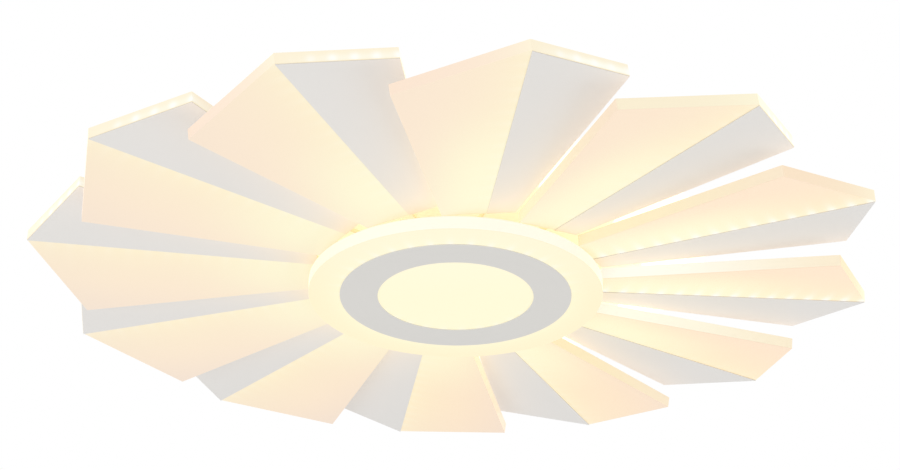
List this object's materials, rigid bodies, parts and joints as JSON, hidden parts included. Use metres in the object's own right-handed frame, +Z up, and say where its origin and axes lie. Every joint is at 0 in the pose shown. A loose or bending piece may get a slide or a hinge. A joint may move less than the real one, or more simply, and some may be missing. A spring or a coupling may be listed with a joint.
{
  "type": "ceiling light",
  "caption": "Flush pinwheel ceiling light: tilted five-sided light boxes of milky acrylic with painted cover plates fan out round a lit disc with a painted ring.",
  "frame": {"origin": "middle of the ceiling bracket's two slots, in the ceiling plane", "axes": "+Z up out of the lamp into the ceiling, X along the ceiling bracket"},
  "size_m": [0.7318, 0.7318, 0.0828],
  "materials": {
    "lit_acrylic": "milky, lit from inside",
    "cover_paint": "satin",
    "white_paint": "satin",
    "light_strip": "matte",
    "spacer_plastic": "matte",
    "hub_plastic": "matte",
    "driver_case": "matte",
    "terminal_plastic": "matte",
    "grommet_rubber": "matte",
    "lead_sheath": "satin",
    "magnet_nickel": "nickel plated",
    "cap_nut_chrome": "polished",
    "zinc_steel": "zinc plated"
  },
  "bodies": {
    "lamp": {"blade_01_cover": "cover_paint", "blade_01_shell": "lit_acrylic", "blade_01_tray": "white_paint", "blade_02_cover": "cover_paint", "blade_02_shell": "lit_acrylic", "blade_02_tray": "white_paint", "blade_03_cover": "cover_paint", "blade_03_shell": "lit_acrylic", "blade_03_tray": "white_paint", "blade_04_cover": "cover_paint", "blade_04_shell": "lit_acrylic", "blade_04_tray": "white_paint", "blade_05_cover": "cover_paint", "blade_05_shell": "lit_acrylic", "blade_05_tray": "white_paint", "blade_06_cover": "cover_paint", "blade_06_shell": "lit_acrylic", "blade_06_tray": "white_paint", "blade_07_cover": "cover_paint", "blade_07_shell": "lit_acrylic", "blade_07_tray": "white_paint", "blade_08_cover": "cover_paint", "blade_08_shell": "lit_acrylic", "blade_08_tray": "white_paint", "blade_09_cover": "cover_paint", "blade_09_shell": "lit_acrylic", "blade_09_tray": "white_paint", "blade_10_cover": "cover_paint", "blade_10_shell": "lit_acrylic", "blade_10_tray": "white_paint", "blade_11_cover": "cover_paint", "blade_11_shell": "lit_acrylic", "blade_11_tray": "white_paint", "blade_12_cover": "cover_paint", "blade_12_shell": "lit_acrylic", "blade_12_tray": "white_paint", "blade_brackets": "white_paint", "blade_leads": "lead_sheath", "blade_light_strips": "light_strip", "cap_nuts": "cap_nut_chrome", "ceiling_bolts": "zinc_steel", "ceiling_bracket": "zinc_steel", "ceiling_pan": "white_paint", "chassis_plate": "white_paint", "disc_magnets": "magnet_nickel", "disc_posts": "zinc_steel", "junction_hub": "hub_plastic", "lead_frame": "grommet_rubber", "led_driver": "driver_case", "pan_leads": "lead_sheath", "terminal_block": "terminal_plastic"},
    "disc": {"disc_base": "white_paint", "disc_light_strips": "light_strip", "disc_plug": "hub_plastic", "disc_ring": "cover_paint", "disc_shell": "lit_acrylic", "disc_spacer": "spacer_plastic"}
  },
  "joints": [
    {"name": "disc_pull", "type": "slide", "parent": "lamp", "child": "disc", "axis": [0, 0, -1], "range_m": [0, 0.06]}
  ]
}
